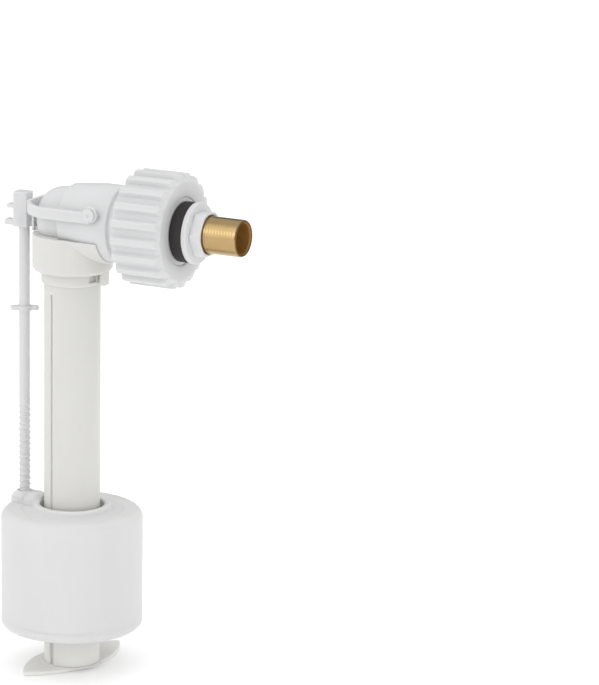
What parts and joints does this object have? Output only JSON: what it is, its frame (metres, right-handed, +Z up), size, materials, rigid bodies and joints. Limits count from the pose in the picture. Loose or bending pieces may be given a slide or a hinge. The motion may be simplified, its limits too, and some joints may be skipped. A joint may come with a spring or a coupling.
{
  "type": "toilet fill valve",
  "caption": "Side-inlet toilet fill valve: an annular float on a threaded rod works a pilot lever on a diaphragm head, with a brass inlet tail and a drop tube on a foot.",
  "frame": {"origin": "centre of the hole in the cistern wall, in the plane of the rubber washer's outer face", "axes": "+X along the inlet tail, out of the cistern; +Z up along the outlet tube; +Y completes a right-handed frame"},
  "size_m": [0.1519, 0.086, 0.2956],
  "materials": {
    "cool_plastic": "satin cool-white moulded plastic",
    "float_plastic": "smooth satin white moulded plastic",
    "warm_plastic": "satin warm-white moulded plastic",
    "brass": "machined brass with a fine thread",
    "rubber": "matt black moulded rubber",
    "steel": "drawn stainless wire",
    "blue_plastic": "moulded blue plastic"
  },
  "bodies": {
    "valve": {"head_body": "cool_plastic", "head_end_cap": "cool_plastic", "pilot_nozzle": "brass", "metering_pin": "steel", "lever_pin_near": "cool_plastic", "lever_pin_far": "cool_plastic", "inlet_flange": "cool_plastic", "flange_seal": "rubber", "inlet_tail": "brass", "flow_restrictor": "blue_plastic", "wall_washer": "rubber", "outlet_cup": "warm_plastic", "tube_collar": "warm_plastic", "outlet_tube": "warm_plastic", "silencer_tube": "warm_plastic", "foot_plate": "warm_plastic"},
    "diaphragm": {"diaphragm": "rubber", "diaphragm_bush": "blue_plastic"},
    "lever": {"lever_yoke": "cool_plastic", "pilot_seal": "rubber"},
    "rod": {"float_rod": "cool_plastic", "rod_clip": "cool_plastic"},
    "float": {"float_shell": "float_plastic", "float_base": "float_plastic", "float_catch": "cool_plastic"},
    "nut": {"union_nut": "cool_plastic"},
    "backnut": {"backnut": "cool_plastic"},
    "filter": {"inlet_filter": "blue_plastic"}
  },
  "joints": [
    {"name": "float_lift", "type": "slide", "parent": "valve", "child": "rod", "axis": [0, 0, 1], "range_m": [0, 0.0055]},
    {"name": "lever_pivot", "type": "hinge", "parent": "valve", "child": "lever", "pos_m": [-0.0535, 0, 0.0085], "axis": [0, 1, 0], "range_deg": [0, 5.7]},
    {"name": "diaphragm_stroke", "type": "slide", "parent": "valve", "child": "diaphragm", "axis": [1, 0, 0], "range_m": [0, 0.0019]},
    {"name": "float_height", "type": "slide", "parent": "rod", "child": "float", "axis": [0, 0, 1], "range_m": [0, 0.048]},
    {"name": "union_nut_turn", "type": "hinge", "parent": "valve", "child": "nut", "pos_m": [0, 0, 0], "axis": [1, 0, 0], "continuous": true},
    {"name": "backnut_travel", "type": "slide", "parent": "valve", "child": "backnut", "axis": [1, 0, 0], "range_m": [0, 0.032]},
    {"name": "filter_pull", "type": "slide", "parent": "valve", "child": "filter", "axis": [1, 0, 0], "range_m": [0, 0.034]}
  ],
  "couplings": [
    {"joint": "lever_pivot", "follows": "float_lift", "rad_per_m": 17.857},
    {"joint": "diaphragm_stroke", "follows": "float_lift", "ratio": 0.327}
  ]
}
